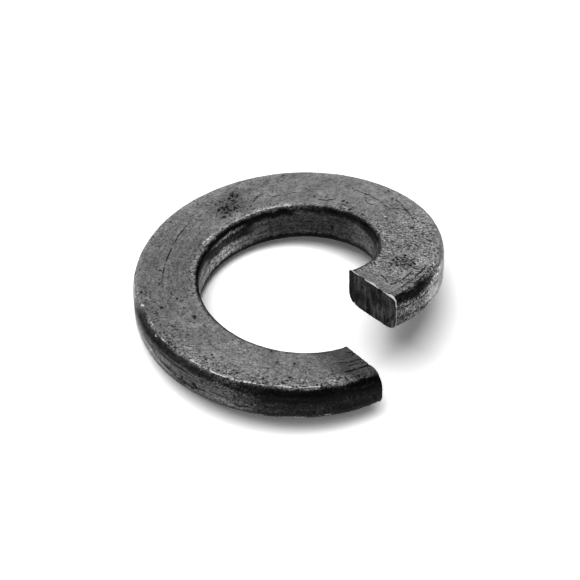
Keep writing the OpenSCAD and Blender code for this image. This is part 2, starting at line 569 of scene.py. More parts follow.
@dataclass(frozen=True)
class WornCorner:
    """A rounded edge whose radius grows along the coil past the radius that it is drawn with.

    Attributes:
        side: 1 for the outer wall and -1 for the bore.
        upper: 1 for the top flat and -1 for the bottom flat.
        drawn_r: Radius that the section is drawn with, in millimetres.
        stops: Pairs of arc in degrees and radius in millimetres.
    """

    side: int
    upper: int
    drawn_r: float
    stops: tuple[tuple[float, float], ...]

    def shrink(
        self, sizes: WireSizes, arc: np.ndarray, across: np.ndarray, up: np.ndarray
    ) -> tuple[np.ndarray, np.ndarray]:
        """Work out how each point moves when the edge takes its larger radius.

        Args:
            sizes: Sizes of the wire.
            arc: Arc along the coil, in degrees.
            across: Place across the wire, outward positive, in millimetres.
            up: Place above the wire's middle, in millimetres.

        Returns:
            Move outward and move upward, in millimetres.
        """
        radius = np.interp(arc, *zip(*self.stops))
        flat = across * self.side - (sizes.width / 2 - radius)
        wall = up * self.upper - (sizes.half_thickness(self.side) - radius)
        inside = (flat > 0) & (wall > 0)
        length = np.hypot(flat, wall) + TINY
        turn_x, turn_y = flat / length, wall / length
        gap = radius - self.drawn_r
        both = gap * (turn_x + turn_y)
        corner = both + np.sqrt(np.clip(both**2 - 2 * gap**2 + self.drawn_r**2, 0, None))
        # Inside the corner the larger of the two is at least 0.7. The limit is for the other points.
        straight = radius / np.maximum(np.maximum(turn_x, turn_y), 0.1)
        on_straight = straight * np.minimum(turn_x, turn_y) < gap
        edge = np.where(on_straight, straight, corner)
        share = np.where(inside & (gap > STILL_MM), radius / edge - 1, 0.0)
        return flat * share * self.side, wall * share * self.upper


@dataclass(frozen=True)
class WireMesh:
    """How finely the wire is modelled.

    Attributes:
        rings: Steps of the section round the coil.
        flat_cuts: Cuts across each flat.
        wall_cuts: Cuts up each wall.
        edge_segments: Facets on each rounded edge.
        wide_edge_segments: Facets on the widest rounded edge.
        cap_span: Columns of the grid that closes a cut face.
        smooth_angle: Angle in degrees up to which faces are shaded as one surface.
    """

    rings: int = 600
    flat_cuts: int = 39
    wall_cuts: int = 18
    edge_segments: int = 8
    wide_edge_segments: int = 12
    cap_span: int = 48
    smooth_angle: float = 35.0


@dataclass(frozen=True)
class ScaledSpringSteel:
    """Spring steel wire with its heat-treatment scale left on.

    The wire was rolled flat, coiled, hardened in oil and tempered. That leaves a thin grey-black
    oxide: dull, grainy and patchy on the flats, smoother round the rolled edges, and rubbed through to
    bare steel on the edges that knock against other parts. The rolled edges and the front of the outer
    wall are drawn darker as painted shade, and the walls at the sides paler as painted light. It has
    hardly any gloss, because its rough grain scatters the light.

    Attributes:
        patch_mm: Size of the cloudy patches.
        blotch_mm: Size of the blotches in them.
        grain_mm: Size of the grain. The real grain is some hundredths of a millimetre, too fine to
            show, so it is drawn this coarse.
        speck_mm: Distance between the dark specks, drawn coarser than real for the same reason.
        ragged_mm: How far the borders of the colour bands wander.
        streaks_per_mm: Rolling streaks per millimetre, along the wire and round it. The real ones are
            finer, and are drawn as coarse as they need to show.
        smears_per_mm: Smears per millimetre, along the wire and round it, that make the dark zones,
            mostly painted shade, deeper or thinner.
        band_ends: Lowest and highest place of the colour bands, round the section.
        bands: Places round the section, in millimetres, and the colour of the scale there. The dark
            bands on the bore's top and bottom edges are painted shade, and the paler strip where the
            outer top edge starts to round is a painted highlight.
    """

    patch_mm: float = 1.1
    blotch_mm: float = 0.3
    grain_mm: float = 0.1
    speck_mm: float = 0.17
    ragged_mm: float = 0.22
    streaks_per_mm: tuple[float, float] = (0.8, 11.0)
    smears_per_mm: tuple[float, float] = (0.9, 3.2)
    band_ends: tuple[float, float] = (-5.0, 4.7)
    bands: tuple[tuple[float, str], ...] = (
        (-4.90, "808080"),
        (-3.62, "787878"),
        # Painted contact shade along the bore's bottom edge.
        (-3.45, "484848"),
        (-3.20, "484848"),
        (-3.02, "787878"),
        (-1.80, "747474"),
        # Painted shade on the bore's top edge.
        (-1.66, "484848"),
        (-1.40, "484848"),
        (-1.28, "8c8c8c"),
        (1.20, "929292"),
        # Painted highlight where the outer top edge starts to round.
        (1.34, "a0a0a0"),
        (1.60, "909090"),
        (1.85, "7c7c7c"),
        (3.40, "7c7c7c"),
        (3.70, "808080"),
    )

    def make(self) -> bpy.types.Material:
        """Build the node material.

        Returns:
            The material.
        """
        material = new_material("scaled_spring_steel")
        tree = material.node_tree
        place = add_node(
            tree, "ShaderNodeVectorMath", {"operation": "SCALE"},
            {0: add_node(tree, "ShaderNodeTexCoord").outputs["Object"], "Scale": 1 / METRES_PER_MM},
        ).outputs[0]
        wire = add_node(tree, "ShaderNodeUVMap", {"uv_map": "along_wire"}).outputs[0]
        split = add_node(tree, "ShaderNodeSeparateXYZ", None, {0: wire})
        patches, blotches, grain, specks = (
            add_node(
                tree, "ShaderNodeTexNoise", None,
                {"Vector": place, "Scale": 1 / size, "Detail": detail, "Roughness": rough},
            ).outputs[0]
            for size, detail, rough in (
                (self.patch_mm, 5.0, 0.6),
                (self.blotch_mm, 5.0, 0.7),
                (self.grain_mm, 3.0, 0.7),
                (self.speck_mm, 2.0, 0.6),
            )
        )
        streaks, smears = (
            add_node(
                tree, "ShaderNodeTexNoise", None,
                {
                    "Vector": add_node(
                        tree, "ShaderNodeVectorMath", {"operation": "MULTIPLY"},
                        {0: wire, 1: (*per_mm, 1.0)},
                    ).outputs[0],
                    "Scale": 1.0, "Detail": detail, "Roughness": rough,
                },
            ).outputs[0]
            for per_mm, detail, rough in (
                (self.streaks_per_mm, 4.0, 0.6), (self.smears_per_mm, 5.0, 0.65),
            )
        )
        shift = add_node(
            tree, "ShaderNodeMath", {"operation": "MULTIPLY_ADD"},
            {0: blotches, 1: self.ragged_mm, 2: -self.ragged_mm / 2},
        ).outputs[0]
        ragged = add_node(
            tree, "ShaderNodeMath", {"operation": "ADD"}, {0: split.outputs["Y"], 1: shift}
        ).outputs[0]
        low, high = self.band_ends
        spot = add_node(
            tree, "ShaderNodeMapRange", None, {"Value": ragged, "From Min": low, "From Max": high}
        ).outputs[0]
        band = add_node(
            tree, "ShaderNodeValToRGB", None, {"Fac": spot},
            tuple(((way - low) / (high - low), colour) for way, colour in self.bands),
        ).outputs[0]
        light_shade_and_tint = add_node(tree, "ShaderNodeAttribute", {"attribute_name": "light_shade_and_tint"}).outputs["Fac"]
        pitted = add_node(tree, "ShaderNodeAttribute", {"attribute_name": "pitted"}).outputs["Fac"]
        pit_edge = add_node(
            tree, "ShaderNodeMath", {"operation": "MULTIPLY_ADD"}, {0: grain, 1: 0.6, 2: pitted}
        ).outputs[0]
        mottle = add_node(
            tree, "ShaderNodeMath", {"operation": "MULTIPLY_ADD"}, {0: blotches, 1: 0.7, 2: smears}
        ).outputs[0]
        depth_of_dark_zones = add_node(
            tree, "ShaderNodeMapRange", None,
            {"Value": mottle, "From Min": 0.63, "From Max": 1.07, "To Min": 0.55, "To Max": 1.6},
        ).outputs[0]
        # The dark zones, mostly painted shade, deepen and thin with the mottle. A pale zone, mostly
        # painted light, stays as it is.
        dark = add_node(
            tree, "ShaderNodeMath", {"operation": "MINIMUM"}, {0: light_shade_and_tint, 1: 1.0}
        ).outputs[0]
        pale = add_node(
            tree, "ShaderNodeMath", {"operation": "MAXIMUM"}, {0: light_shade_and_tint, 1: 1.0}
        ).outputs[0]
        # Mostly painted shade: the dark zones, raised to a power that the mottle sets.
        dark_tone = add_node(
            tree, "ShaderNodeMath", {"operation": "POWER"}, {0: dark, 1: depth_of_dark_zones}
        ).outputs[0]
        tone = add_node(
            tree, "ShaderNodeMath", {"operation": "MULTIPLY"}, {0: dark_tone, 1: pale}
        ).outputs[0]
        # Each pattern, the attribute that scales it, and how far it swings the tone either way.
        for source, name, depth in ((grain, "grainy", 0.55), (streaks, "streaky", 0.42)):
            amount = add_node(tree, "ShaderNodeAttribute", {"attribute_name": name}).outputs["Fac"]
            swing = add_node(
                tree, "ShaderNodeMapRange", None,
                {
                    "Value": source, "From Min": 0.33, "From Max": 0.67,
                    "To Min": -depth, "To Max": depth,
                },
            ).outputs[0]
            wide = add_node(
                tree, "ShaderNodeMath", {"operation": "MULTIPLY_ADD"}, {0: swing, 1: amount, 2: 1.0}
            ).outputs[0]
            kept = add_node(
                tree, "ShaderNodeMath", {"operation": "MAXIMUM"}, {0: wide, 1: 0.15}
            ).outputs[0]
            tone = add_node(
                tree, "ShaderNodeMath", {"operation": "MULTIPLY"}, {0: tone, 1: kept}
            ).outputs[0]
        # Each pattern, its low and high value, and what the tone is multiplied by at each.
        for source, low_from, high_from, low_to, high_to in (
            (patches, 0.32, 0.68, 0.72, 1.22),
            (blotches, 0.32, 0.68, 0.66, 1.30),
            (specks, 0.60, 0.70, 1.0, 0.40),
            (pit_edge, 0.62, 0.95, 1.0, 0.14),
        ):
            share = add_node(
                tree, "ShaderNodeMapRange", None,
                {
                    "Value": source, "From Min": low_from, "From Max": high_from,
                    "To Min": low_to, "To Max": high_to,
                },
            ).outputs[0]
            tone = add_node(
                tree, "ShaderNodeMath", {"operation": "MULTIPLY"}, {0: tone, 1: share}
            ).outputs[0]
        oxide = add_node(
            tree, "ShaderNodeVectorMath", {"operation": "SCALE"}, {0: band, "Scale": tone}
        ).outputs[0]
        bare_share, colour, metallic = rub_bare(tree, oxide, grain, 1.4, (1.2, 1.5))
        roughness = add_node(
            tree, "ShaderNodeMapRange", None, {"Value": bare_share, "To Min": 0.62, "To Max": 0.35}
        ).outputs[0]
        height = add_node(
            tree, "ShaderNodeMath", {"operation": "MULTIPLY_ADD"}, {0: grain, 1: 0.5, 2: blotches}
        ).outputs[0]
        close_steel(
            tree, height,
            {
                "Base Color": colour, "Roughness": roughness, "Metallic": metallic,
                "Specular IOR Level": 0.04,
            },
        )
        return material


@dataclass(frozen=True)
class ShearedSpringSteel:
    """Face where the hardened wire was sheared off before heat treatment.

    The blade left fine lines down the face. Oil and scale have since turned it nearly black, with a
    bright burr along its upper rim where it knocks against other parts.

    Attributes:
        dark_colour: Colour of the scale in the blade's lines.
        light_colour: Colour of the scale on the ridges between them.
        line_mm: Distance between the lines. The real ones are some hundredths of a millimetre apart,
            too fine to show, so they are drawn this coarse.
        line_stretch: Distance between them as a share of how long they run.
        soot_mm: Size of the clouds of soot.
        grains_per_mm: Grains per millimetre, drawn coarser than real.
    """

    dark_colour: str = "0c0c0c"
    light_colour: str = "727272"
    line_mm: float = 0.2
    line_stretch: float = 0.18
    soot_mm: float = 0.9
    grains_per_mm: float = 9.0

    def make(self) -> bpy.types.Material:
        """Build the node material.

        Returns:
            The material.
        """
        material = new_material("sheared_spring_steel")
        tree = material.node_tree
        face = add_node(tree, "ShaderNodeUVMap", {"uv_map": "along_wire"}).outputs[0]
        stretched = add_node(
            tree, "ShaderNodeVectorMath", {"operation": "MULTIPLY"},
            {0: face, 1: (1 / self.line_mm, self.line_stretch / self.line_mm, 1.0)},
        ).outputs[0]
        lines = add_node(
            tree, "ShaderNodeTexNoise", None,
            {"Vector": stretched, "Scale": 1.0, "Detail": 5.0, "Roughness": 0.65, "Distortion": 0.9},
        ).outputs[0]
        grain = add_node(
            tree, "ShaderNodeTexNoise", None,
            {"Vector": face, "Scale": self.grains_per_mm, "Detail": 4.0},
        ).outputs[0]
        mixed = add_node(
            tree, "ShaderNodeMath", {"operation": "MULTIPLY_ADD"}, {0: grain, 1: 0.35, 2: lines}
        ).outputs[0]
        cloud = add_node(
            tree, "ShaderNodeTexNoise", None, {"Vector": face, "Scale": 1 / self.soot_mm, "Detail": 2.0}
        ).outputs[0]
        dark_tone = add_node(
            tree, "ShaderNodeMapRange", None,
            {"Value": cloud, "From Min": 0.38, "From Max": 0.62, "To Min": 0.2, "To Max": 1.5},
        ).outputs[0]
        drawn = add_node(
            tree, "ShaderNodeMapRange", None, {"Value": mixed, "From Min": 0.60, "From Max": 0.98}
        ).outputs[0]
        shade = add_node(
            tree, "ShaderNodeMath", {"operation": "MULTIPLY"}, {0: drawn, 1: dark_tone}
        ).outputs[0]
        scale = add_node(
            tree, "ShaderNodeMix", {"data_type": "RGBA"},
            {0: shade, 6: linear(self.dark_colour), 7: linear(self.light_colour)},
        ).outputs[2]
        _, colour, metallic = rub_bare(tree, scale, grain, 1.0, (1.0, 1.25))
        close_steel(
            tree, mixed,
            {
                "Base Color": colour, "Roughness": 0.55, "Metallic": metallic,
                "Specular IOR Level": 0.05,
            },
        )
        return material


@dataclass(frozen=True)
class Wander:
    """A wave whose length keeps changing, so that no repeat shows.

    Attributes:
        turn: Radians of the wave per millimetre.
        swing: How many radians it runs ahead and falls behind.
        drift: Radians per millimetre of that swing.
    """

    turn: float
    swing: float
    drift: float

    def at(self, place: np.ndarray) -> np.ndarray:
        """Give the wave's height, from -1 to 1, at places in millimetres."""
        return np.sin(place * self.turn + self.swing * np.sin(place * self.drift))


@dataclass(frozen=True)
class MarkBorders:
    """How marks fade and break up at their borders.

    Attributes:
        ragged: Spread of the random change of level from vertex to vertex.
        fade: Widths from its middle at which a mark has gone.
        spot_widths: Least and greatest width of a spot, as shares of its mark's width.
        spot_level: Level in the middle of a spot.
        line_level: Mean level in the middle of a line.
        line_breaks: How far a line's level swings as it comes and goes.
        break_turns: Radians of that swing per millimetre, along the wire and round it.
    """

    ragged: float = 0.3
    fade: float = 1.5
    spot_widths: tuple[float, float] = (0.6, 1.35)
    spot_level: float = 1.2
    line_level: float = 0.95
    line_breaks: float = 0.3
    break_turns: tuple[float, float] = (5.1, 9.0)


@dataclass(frozen=True)
class ShortCracks:
    """Short cracks that are scattered over the wire.

    Attributes:
        count: Number of cracks.
        first_turn: Spread of their first direction off the run of the wire, in radians.
        next_turn: Spread of the turn at each further step, in radians.
        steps: Least number of steps, and the number that it stays below.
        step: Least and greatest length of a step, in millimetres.
        width: Least and greatest half width, in millimetres.
        depth: Depth, in millimetres.
    """

    count: int = 60
    first_turn: float = 0.5
    next_turn: float = 0.35
    steps: tuple[int, int] = (2, 6)
    step: tuple[float, float] = (0.1, 0.25)
    width: tuple[float, float] = (0.022, 0.036)
    depth: float = 0.012


@dataclass(frozen=True)
class CutBurr:
    """Burr that the blade left along the upper rims of the cuts, in millimetres.

    Where there are two values, the first is the least and the second is added where it is strongest.

    Attributes:
        turn: Radians of its waviness per millimetre across the wire.
        start: Radians of its waviness at the middle of the wire.
        grows_from: Place across the wire from which it grows to its full size.
        grows_over: Distance over which it does so.
        least: Least share of its size, at the bore.
        inset: Distance from the walls at which it ends.
        low_out: How far it stands out of the low cut.
        high_out: How far it stands out of the high cut.
        lip: How far its crest is turned up.
        lip_end: Place across the wire at which the lip ends.
        crest_arc: Degrees of the top flat that are rubbed behind it.
        crest_level: How bare that strip is rubbed.
        face_strip: Height of the strip that is rubbed on the cut face.
        face_level: How bare that strip is rubbed.
        corner_level: How bare the cut's outer corner and its toe are rubbed.
        corner_strip: Width of the rubbed outer corner.
        corner_end: Height above and below the wire's middle at which it ends.
        toe: Places across the wire between which the toe lies.
        toe_top: Height of the toe's top over the wire's middle.
    """

    turn: float = 5.2
    start: float = 1.93
    grows_from: float = -1.1
    grows_over: float = 0.5
    least: float = 0.45
    inset: float = 0.12
    low_out: float = 0.012
    high_out: tuple[float, float] = (0.008, 0.02)
    lip: float = 0.012
    lip_end: float = 0.8
    crest_arc: tuple[float, float] = (0.6, 0.7)
    crest_level: tuple[float, float] = (0.5, 1.1)
    face_strip: float = 0.07
    face_level: tuple[float, float] = (0.55, 0.9)
    corner_level: float = 0.8
    corner_strip: float = 0.08
    corner_end: float = 0.85
    toe: tuple[float, float] = (-1.35, -0.9)
    toe_top: float = -0.88


@dataclass
class SpringWasher:
    """The washer: one coiled length of rounded flat wire with two sheared ends.

    Attributes:
        sizes: Sizes of the wire and its coil.
        mesh: How finely it is modelled.
        finish: Finish of the wire.
        cut_finish: Finish of the two cut faces.
        marks: Marks that stand out.
        pit_patches: Patches of fine pits.
        lights_shades_and_tints: Zones that darken or lighten the scale, most of them as painted light
            and shade.
        grains: Zones that change its grain.
        streaks: Zones that change its streaks.
        seed: Seed of all random draws.
        pit_sets: Scattered pits, from fine to coarse, as count, half width and depth.
        patch_pit: Half width and depth of a pit in a patch.
        short_cracks: Scattered short cracks.
        corners: Edges that grow rounder along the coil.
        borders: How marks fade at their borders.
        zone_wanders: Height in millimetres and wave of each wander of the zones' borders.
        zone_grit: Random raggedness of those borders, as a share of that of the marks.
        burr_sizes: Sizes of the burr.
        cut_lines: Wave of the lines that the blade left across the cut faces.
        line_depth: Depth of those lines, at least and added at the deepest, in millimetres.
        skin: Name, grain and height in millimetres of each roughness of the rolled skin.
        section_points: Number of points round the section, set when it is coiled.
        side_faces: Number of faces along the wire, set when it is coiled.
        arc: Arc of each vertex from the high cut, in degrees. It and the next five are set by the
            survey.
        across: Place of each vertex across the wire, outward positive, in millimetres.
        up: Height of each vertex over the wire's middle, in millimetres.
        way: Distance of each vertex round the section from the middle of the top flat.
        along: Distance of each vertex along the wire, in millimetres.
        on_wire: Whether each vertex is on the wire's skin, and not inside a cut face.
        ragged_way: The same as way, made ragged for the borders of the zones. It and the next three
            are set when the marks are drawn.
        pitted: How fully each vertex is in a pit or crack.
        carved: Depth of that pit or crack, in millimetres.
        rubbed: How bare each vertex is rubbed.
        burr: How far the burr stands out of the cut, in millimetres, set with its lip.
        burr_lip: How far it is turned up, in millimetres.
    """

    sizes: WireSizes = field(default_factory=WireSizes)
    mesh: WireMesh = field(default_factory=WireMesh)
    finish: ScaledSpringSteel = field(default_factory=ScaledSpringSteel)
    cut_finish: ShearedSpringSteel = field(default_factory=ShearedSpringSteel)
    marks: tuple[Mark, ...] = MARKS
    pit_patches: tuple[PitPatch, ...] = PIT_PATCHES
    lights_shades_and_tints: tuple[Zone, ...] = LIGHT_SHADE_AND_TINTS
    grains: tuple[Zone, ...] = GRAINS
    streaks: tuple[Zone, ...] = STREAKS
    seed: int = 14
    pit_sets: tuple[tuple[int, float, float], ...] = (
        (420, 0.03, 0.02), (90, 0.045, 0.03), (16, 0.07, 0.04),
    )
    patch_pit: tuple[float, float] = (0.034, 0.03)
    short_cracks: ShortCracks = field(default_factory=ShortCracks)
    corners: tuple[WornCorner, ...] = (
        WornCorner(
            1, 1, 0.22,
            ((0, 0.3), (3, 0.34), (14, 0.42), (50, 0.36), (75, 0.22), (195, 0.22), (245, 0.38),
             (300, 0.45), (338, 0.5), (348, 0.66), (355, 0.78)),
        ),
        WornCorner(1, -1, 0.5, ((0, 0.66), (25, 0.5), (335, 0.5), (355, 0.56))),
        WornCorner(-1, -1, 0.28, ((0, 0.62), (8, 0.48), (24, 0.28))),
    )
    borders: MarkBorders = field(default_factory=MarkBorders)
    zone_wanders: tuple[tuple[float, Wander], ...] = (
        (0.04, Wander(3.1, 1.7, 1.3)), (0.03, Wander(9.7, 2.0, 2.9)),
    )
    zone_grit: float = 0.1
    burr_sizes: CutBurr = field(default_factory=CutBurr)
    cut_lines: Wander = Wander(13.0, 2.0, 3.1)
    line_depth: tuple[float, float] = (0.01, 0.03)
    skin: tuple[tuple[str, float, float], ...] = (
        ("rolled_skin", 1.3, 0.014),
        ("scale_flakes", 0.26, 0.02),
    )
    section_points: int = field(init=False)
    side_faces: int = field(init=False)
    arc: np.ndarray = field(init=False)
    across: np.ndarray = field(init=False)
    up: np.ndarray = field(init=False)
    way: np.ndarray = field(init=False)
    along: np.ndarray = field(init=False)
    on_wire: np.ndarray = field(init=False)
    ragged_way: np.ndarray = field(init=False)
    pitted: np.ndarray = field(init=False)
    carved: np.ndarray = field(init=False)
    rubbed: np.ndarray = field(init=False)
    burr: np.ndarray = field(init=False)
    burr_lip: np.ndarray = field(init=False)

    def select_parts(
        self,
        piece: bpy.types.Object,
        mode: str,
        test: Callable[[bmesh.types.BMVert | bmesh.types.BMEdge], bool],
    ) -> None:
        """Select the vertices or the edges that pass a test, in edit mode.

        Args:
            piece: Object in edit mode.
            mode: VERT or EDGE.
            test: Function of a vertex or edge that says whether it is selected.
        """
        bpy.ops.mesh.select_mode(type=mode)
        bpy.ops.mesh.select_all(action="DESELECT")
        edit = bmesh.from_edit_mesh(piece.data)
        for part in edit.verts if mode == "VERT" else edit.edges:
            part.select = test(part)
        edit.select_flush_mode()
        bmesh.update_edit_mesh(piece.data)

    def draw_section(self) -> bpy.types.Object:
        """Model the wire's section at the high cut: a plane with four rounded corners.

        Returns:
            Object that holds the section's closed outline.
        """
        sizes = self.sizes
        deselect_all()
        bpy.ops.mesh.primitive_plane_add(
            size=1.0, location=(sizes.mid_r, 0, 0), rotation=(math.pi / 2, 0, 0)
        )
        piece = bpy.context.object
        piece.name = "spring_washer_wire"
        piece.scale = (sizes.width, sizes.thickness, 1)
        bpy.ops.object.transform_apply(location=True, rotation=True, scale=True)
        bpy.ops.object.mode_set(mode="EDIT")
        for side in (1, -1):
            self.select_parts(piece, "VERT", lambda vert: (vert.co.x - sizes.mid_r) * side > 0)
            bpy.ops.transform.resize(
                value=(1, 1, 2 * sizes.half_thickness(side) / sizes.thickness),
                center_override=(sizes.mid_r, 0, 0),
            )
        corners = (
            (1, 1, sizes.top_outer_r, self.mesh.edge_segments),
            (-1, 1, sizes.top_inner_r, self.mesh.edge_segments),
            (1, -1, sizes.bottom_outer_r, self.mesh.wide_edge_segments),
            (-1, -1, sizes.bottom_inner_r, self.mesh.edge_segments),
        )
        # Only the corner that is to be rounded lies this near to both of its sides.
        near = 0.01
        for side, upper, radius, segments in corners:
            half_w = sizes.width / 2 - near
            half_t = sizes.half_thickness(side) - near
            self.select_parts(
                piece, "VERT",
                lambda vert: (vert.co.x - sizes.mid_r) * side > half_w and vert.co.z * upper > half_t,
            )
            bpy.ops.mesh.bevel(
                offset_type="OFFSET", offset=radius, segments=segments, profile=0.5, affect="VERTICES"
            )
        bpy.ops.mesh.select_all(action="SELECT")
        bpy.ops.mesh.delete(type="ONLY_FACE")
        # The flats are the only edges longer than 1.5 mm, and then the walls those longer than 0.5 mm.
        for longer_than, cuts in ((1.5, self.mesh.flat_cuts), (0.5, self.mesh.wall_cuts)):
            self.select_parts(piece, "EDGE", lambda edge: edge.calc_length() > longer_than)
            bpy.ops.mesh.subdivide(number_cuts=cuts)
        bpy.ops.object.mode_set(mode="OBJECT")
        return piece

    def coil_section(self, piece: bpy.types.Object) -> None:
        """Wind the section round the coil's axis, flat at first, and close both cut faces.

        Args:
            piece: Object that holds the section's outline.
        """
        sizes = self.sizes
        self.section_points = len(piece.data.vertices)
        apply_modifier(
            piece, "SCREW", axis="Z", angle=math.radians(sizes.coil_arc), screw_offset=0.0,
            steps=self.mesh.rings, render_steps=self.mesh.rings, use_normal_calculate=False,
        )
        self.side_faces = len(piece.data.polygons)
        bpy.ops.object.mode_set(mode="EDIT")
        # The grid of a cut face starts at the middle of its top inner edge.
        inset = (1 - math.sqrt(0.5)) * sizes.top_inner_r
        corner_r = sizes.bore_r + inset
        corner_z = sizes.half_thickness(-1) - inset
        for bearing in (0.0, -sizes.gap_arc):
            self.select_parts(
                piece, "VERT",
                lambda vert: abs(math.degrees(math.atan2(vert.co.y, vert.co.x)) - bearing) < SAME_RING,
            )
            bpy.ops.mesh.select_mode(type="EDGE")
            edit = bmesh.from_edit_mesh(piece.data)
            corner = min(
                (vert for vert in edit.verts if vert.select),
                key=lambda vert: abs(vert.co.xy.length - corner_r) + abs(vert.co.z - corner_z),
            )
            edit.select_history.clear()
            edit.select_history.add(corner)
            bmesh.update_edit_mesh(piece.data)
            bpy.ops.mesh.fill_grid(span=self.mesh.cap_span, offset=0)
        bpy.ops.mesh.select_mode(type="VERT")
        bpy.ops.mesh.select_all(action="SELECT")
        bpy.ops.mesh.normals_make_consistent(inside=False)
        bpy.ops.object.mode_set(mode="OBJECT")

    def round_section(self, across: np.ndarray, up: np.ndarray) -> np.ndarray:
        """Measure each point's distance round the section from the middle of the top flat.

        Args:
            across: Place across the wire, outward positive, in millimetres.
            up: Place above the wire's middle, in millimetres.

        Returns:
            Distances in millimetres, positive by way of the outer wall, negative by way of the bore.
        """
        sizes = self.sizes
        result = np.zeros_like(across)
        sides = (
            (1, sizes.top_outer_r, sizes.bottom_outer_r),
            (-1, sizes.top_inner_r, sizes.bottom_inner_r),
        )
        for side, top_r, bottom_r in sides:
            half_w = sizes.width / 2
            half_t = sizes.half_thickness(side)
            out = across * side
            flat_end = half_w - top_r
            edge_end = flat_end + top_r * math.pi / 2
            wall_end = edge_end + 2 * half_t - top_r - bottom_r
            lower_end = wall_end + bottom_r * math.pi / 2
            top_turn = np.arctan2(out - flat_end, up - (half_t - top_r))
            low_turn = np.arctan2(-up - (half_t - bottom_r), out - (half_w - bottom_r))
            way = np.where(
                up > half_t - top_r,
                np.where(out > flat_end, flat_end + top_r * top_turn, out),
                np.where(
                    up > -(half_t - bottom_r),
                    edge_end + half_t - top_r - up,
                    np.where(
                        out > half_w - bottom_r,
                        wall_end + bottom_r * low_turn,
                        lower_end + half_w - bottom_r - out,
                    ),
                ),
            )
            result = np.where(across * side >= 0, way * side, result)
        return result

    def survey(self, piece: bpy.types.Object) -> None:
        """Note where every vertex stands on the coil, while the coil is still flat.

        Args:
            piece: Flat coil.
        """
        count = len(piece.data.vertices)
        place = np.empty(count * 3)
        piece.data.vertices.foreach_get("co", place)
        place = place.reshape(count, 3)
        # The high cut's own bearing, 0, can come out as just under 360.
        bearing = np.degrees(np.arctan2(place[:, 1], place[:, 0])) % 360
        self.arc = np.where(bearing > self.sizes.coil_arc + 1, 0.0, bearing)
        self.across = np.hypot(place[:, 0], place[:, 1]) - self.sizes.mid_r
        self.up = place[:, 2].copy()
        self.way = self.round_section(self.across, self.up)
        self.along = np.radians(self.arc) * self.sizes.mid_r
        ring_count = (self.mesh.rings + 1) * self.section_points
        self.on_wire = np.arange(count) < ring_count

    def unwrap(self, piece: bpy.types.Object) -> None:
        """Give the piece its own UV map: millimetres along the wire and round its section.

        Args:
            piece: Flat coil.
        """
        mesh = piece.data
        layer = mesh.uv_layers.new(name="along_wire")
        loops = np.empty(len(mesh.loops), dtype=np.int32)
        mesh.loops.foreach_get("vertex_index", loops)
        round_loops = self.way[loops].reshape(-1, 4)
        perimeter = self.way.max() - self.way.min()
        # A face over the seam under the wire has points at both ends of the way round.
        crosses = (round_loops.max(axis=1) - round_loops.min(axis=1)) > perimeter / 2
        shifted = np.where((round_loops < 0) & crosses[:, None], round_loops + perimeter, round_loops)
        uv = np.column_stack((self.along[loops], shifted.reshape(-1)))
        cut_face = np.array([polygon.index >= self.side_faces for polygon in mesh.polygons])
        cut_loops = np.repeat(cut_face, 4)
        cut_uv = np.column_stack((self.across[loops], self.up[loops]))
        uv = np.where(cut_loops[:, None], cut_uv, uv)
        layer.data.foreach_set("uv", uv.ravel())
        mesh.materials.append(self.finish.make())
        mesh.materials.append(self.cut_finish.make())
        mesh.polygons.foreach_set("material_index", cut_face.astype(np.int32))

    def add_group(self, piece: bpy.types.Object, name: str, weights: np.ndarray) -> None:
        """Add a vertex group with one weight per vertex.

        Args:
            piece: Object that gets the group.
            name: Name of the group.
            weights: Weights from 0 to 1.
        """
        group = piece.vertex_groups.new(name=name)
        # Equal weights are given together, because each call takes time.
        used = np.nonzero(weights > 0.001)[0]
        levels = np.round(weights[used], 5)
        order = np.argsort(levels, kind="stable")
        used = used[order]
        levels = levels[order]
        edges = np.nonzero(np.diff(levels))[0] + 1
        for block in np.split(np.arange(len(used)), edges):
            if len(block):
                group.add(used[block].tolist(), float(levels[block[0]]), "REPLACE")

    def add_attribute(self, piece: bpy.types.Object, name: str, values: np.ndarray) -> None:
        """Store one value per vertex for the finish to read.

        Args:
            piece: Object that gets the attribute.
            name: Name of the attribute.
            values: One value per vertex.
        """
        layer = piece.data.attributes.new(name, "FLOAT", "POINT")
        layer.data.foreach_set("value", values.astype(np.float32))

    def push(
        self, piece: bpy.types.Object, name: str, amount: np.ndarray, direction: str
    ) -> None:
        """Move the vertices along one direction by a Displace modifier, each by its own amount.

        Args:
            piece: Object to change.
            name: Name of the vertex group that carries the amounts.
            amount: Move of each vertex, in millimetres.
            direction: X, Y or Z.
        """
        # A weight can't be negative, so the whole piece makes the lowest move at the end.
        low = float(amount.min())
        span = float(amount.max()) - low
        self.add_group(piece, name, (amount - low) / span)
        apply_modifier(
            piece, "DISPLACE", direction=direction, strength=span, mid_level=0.0, vertex_group=name
        )
        if low != 0:
            offset = [0.0, 0.0, 0.0]
            offset["XYZ".index(direction)] = low
            piece.location = offset
            make_active(piece)
            bpy.ops.object.transform_apply(location=True, rotation=False, scale=False)

